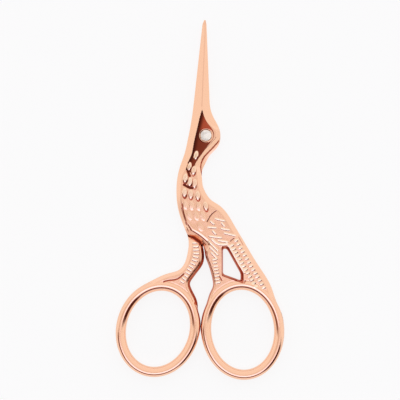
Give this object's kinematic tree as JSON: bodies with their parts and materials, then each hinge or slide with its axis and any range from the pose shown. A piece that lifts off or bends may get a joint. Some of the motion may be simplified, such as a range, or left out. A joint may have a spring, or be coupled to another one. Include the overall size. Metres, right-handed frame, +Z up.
{
  "type": "embroidery scissors",
  "caption": "Small scissors shaped as a standing stork: the shut beak is the blades, the eye is the pivot screw, the legs end in oval finger rings.",
  "frame": {"origin": "on the table under the middle of the shut scissors, which lie on their back face", "axes": "+X to the tail side, +Y along the beak to its tip, +Z up through the face that shows the wing"},
  "size_m": [0.054, 0.1154, 0.0036],
  "materials": {
    "plated_halves": "polished rose gold plating on steel",
    "screw_steel": "bare turned steel"
  },
  "bodies": {
    "back": {"back_half": "plated_halves", "pivot_screw": "screw_steel"},
    "front": {"front_half": "plated_halves"}
  },
  "joints": [
    {"name": "pivot", "type": "hinge", "parent": "back", "child": "front", "pos_m": [0.00191, 0.02066, 0.0018], "axis": [0, 0, 1], "range_deg": [0, 60]}
  ]
}
